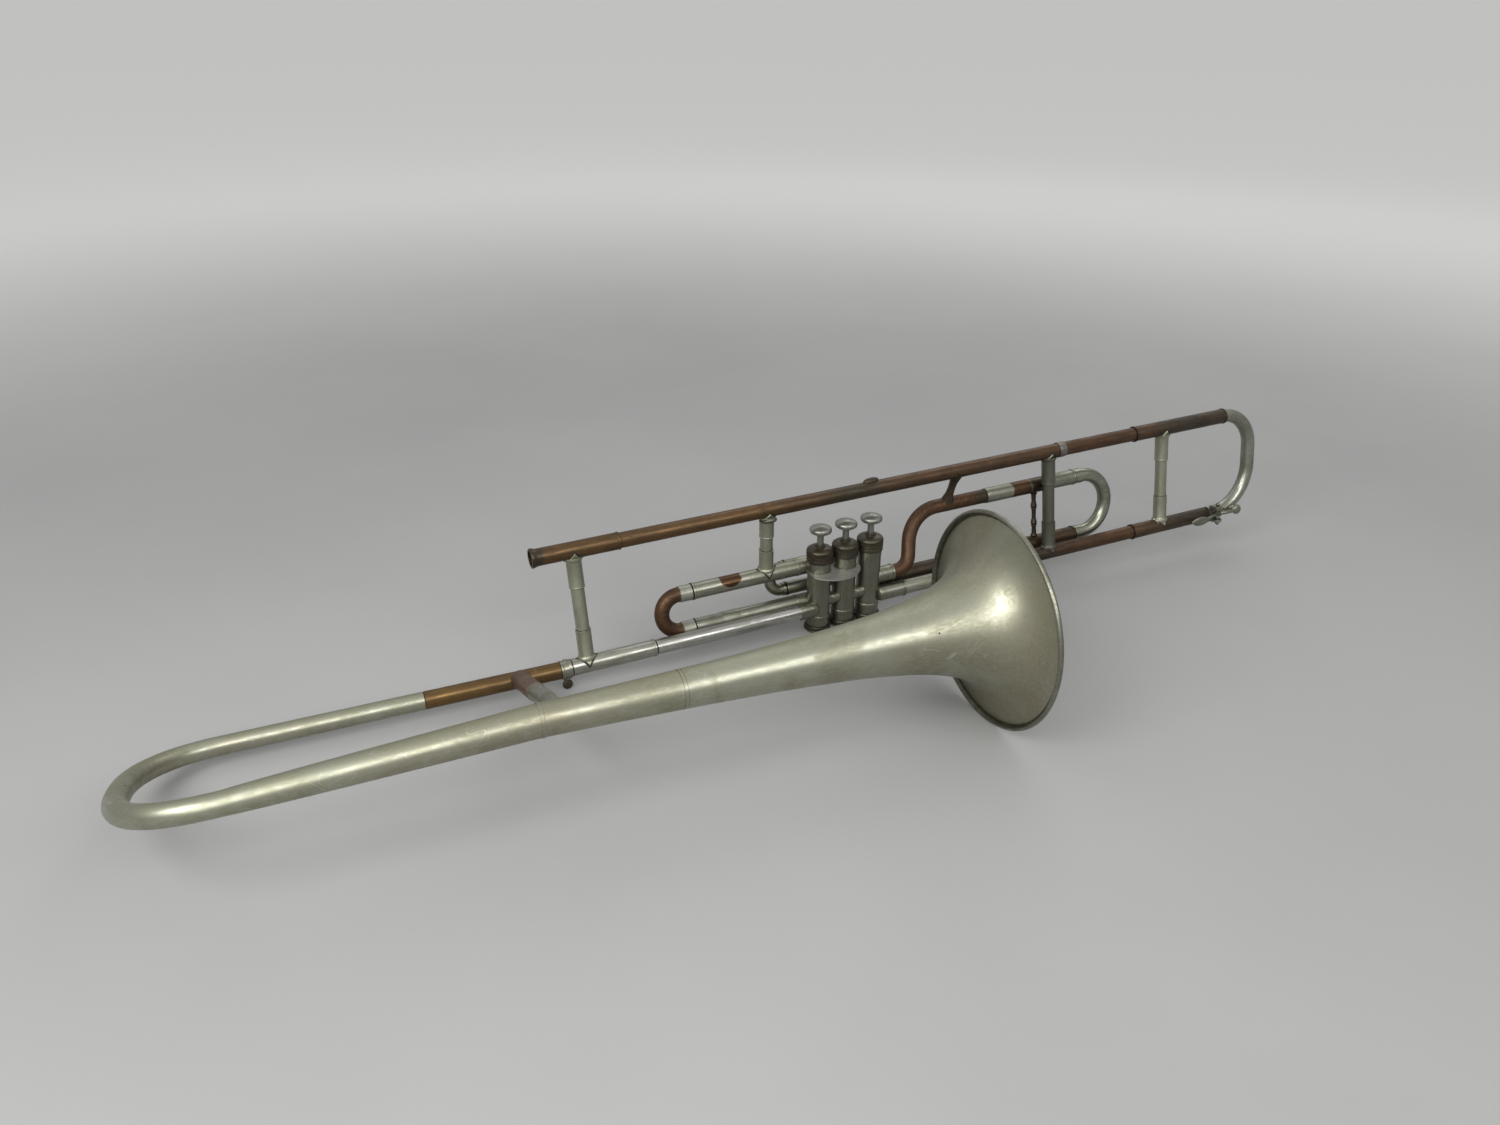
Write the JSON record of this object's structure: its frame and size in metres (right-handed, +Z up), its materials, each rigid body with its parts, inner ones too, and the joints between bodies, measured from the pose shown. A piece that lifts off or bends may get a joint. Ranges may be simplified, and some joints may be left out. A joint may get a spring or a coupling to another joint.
{
  "type": "valve trombone",
  "caption": "Valve trombone lying on its side: straight slide tubes, piston valves with pull-out slides, front tuning slide with a water key, and a clamped bell section that swivels.",
  "frame": {"origin": "centre of the footprint, on the surface that the instrument lies on", "axes": "+X along the slide tubes towards the front bow, +Z up from the table, -Y towards the bell"},
  "size_m": [0.9856, 0.2736, 0.1596],
  "materials": {
    "nickel_silver": "worn, satin, tarnished nickel silver",
    "copper_brown": "brass gone copper brown, plating worn off",
    "dark_brown": "dark brown oxidised brass",
    "felt": "pressed wool felt",
    "steel": "dull steel",
    "cork": "cork"
  },
  "bodies": {
    "slide_frame": {"valve_casing_1": "nickel_silver", "piston_spring_1": "steel", "valve_casing_2": "nickel_silver", "piston_spring_2": "steel", "valve_casing_3": "nickel_silver", "piston_spring_3": "steel", "top_cap_1": "dark_brown", "bottom_cap_1": "dark_brown", "top_cap_2": "dark_brown", "bottom_cap_2": "dark_brown", "top_cap_3": "dark_brown", "bottom_cap_3": "dark_brown", "hand_plate": "nickel_silver", "mouthpiece_receiver": "copper_brown", "upper_long_tube": "copper_brown", "lower_long_tube": "copper_brown", "main_tube": "nickel_silver", "main_tube_sleeve": "nickel_silver", "repair_sleeve": "nickel_silver", "upper_tube_lug": "dark_brown", "s_curve_tube": "copper_brown", "first_slide_upper_leg": "nickel_silver", "first_slide_lower_leg": "nickel_silver", "second_slide_upper_leg": "nickel_silver", "second_slide_lower_leg": "nickel_silver", "third_slide_upper_leg": "nickel_silver", "third_slide_lower_leg": "dark_brown", "left_stay": "nickel_silver", "first_slide_stay": "nickel_silver", "middle_stay": "nickel_silver", "baluster_brace": "dark_brown", "short_strut": "dark_brown", "bell_clamp_collar": "nickel_silver"},
    "bell_section": {"neck_tenon": "nickel_silver", "neck_tube": "copper_brown", "bell_bow": "nickel_silver", "bell_flare": "nickel_silver", "bell_stay": "nickel_silver"},
    "clamp_screw": {"thumb_screw": "dark_brown"},
    "valve_1": {"piston_1": "nickel_silver", "finger_button_1": "nickel_silver", "stem_felt_1": "felt"},
    "valve_2": {"piston_2": "nickel_silver", "finger_button_2": "nickel_silver", "stem_felt_2": "felt"},
    "valve_3": {"piston_3": "nickel_silver", "finger_button_3": "nickel_silver", "stem_felt_3": "felt"},
    "first_slide": {"first_slide_bow": "copper_brown"},
    "second_slide": {"second_slide_bow": "nickel_silver"},
    "third_slide": {"third_slide_bow": "nickel_silver"},
    "tuning_slide": {"front_slide_upper_sleeve": "dark_brown", "front_slide_lower_sleeve": "dark_brown", "front_bow": "nickel_silver", "front_stay": "nickel_silver", "water_key_saddle": "nickel_silver", "water_key_pin": "steel"},
    "water_key": {"water_key_lever": "nickel_silver", "water_key_pad": "cork"}
  },
  "joints": [
    {"name": "valve_1_press", "type": "slide", "parent": "slide_frame", "child": "valve_1", "axis": [0, 0, -1], "range_m": [0, 0.01], "stiffness_N_per_m": 200, "springref_m": -0.015, "deforming": ["piston_spring_1"]},
    {"name": "valve_2_press", "type": "slide", "parent": "slide_frame", "child": "valve_2", "axis": [0, 0, -1], "range_m": [0, 0.01], "stiffness_N_per_m": 200, "springref_m": -0.015, "deforming": ["piston_spring_2"]},
    {"name": "valve_3_press", "type": "slide", "parent": "slide_frame", "child": "valve_3", "axis": [0, 0, -1], "range_m": [0, 0.01], "stiffness_N_per_m": 200, "springref_m": -0.015, "deforming": ["piston_spring_3"]},
    {"name": "bell_swivel", "type": "hinge", "parent": "slide_frame", "child": "bell_section", "pos_m": [-0.18957, 0.10194, 0.01607], "axis": [0.9995, 0, 0.0307], "range_deg": [-45, 90]},
    {"name": "clamp_screw_turn", "type": "hinge", "parent": "slide_frame", "child": "clamp_screw", "pos_m": [-0.18537, 0.10194, 0.0162], "axis": [-0.0304, 0.1523, 0.9879], "range_deg": [0, 360]},
    {"name": "first_slide_draw", "type": "slide", "parent": "slide_frame", "child": "first_slide", "axis": [-0.9995, 0, -0.0307], "range_m": [0, 0.025]},
    {"name": "second_slide_draw", "type": "slide", "parent": "slide_frame", "child": "second_slide", "axis": [-0.9995, 0, -0.0307], "range_m": [0, 0.01]},
    {"name": "third_slide_draw", "type": "slide", "parent": "slide_frame", "child": "third_slide", "axis": [0.9995, 0, 0.0307], "range_m": [0, 0.04]},
    {"name": "tuning_slide_draw", "type": "slide", "parent": "slide_frame", "child": "tuning_slide", "axis": [0.9995, 0, 0.0307], "range_m": [0, 0.06]},
    {"name": "water_key_open", "type": "hinge", "parent": "tuning_slide", "child": "water_key", "pos_m": [0.44382, 0.09148, 0.03917], "axis": [0.0304, -0.1523, -0.9879], "range_deg": [0, 10], "stiffness_Nm_per_rad": 0.05, "springref_deg": -17.19}
  ]
}
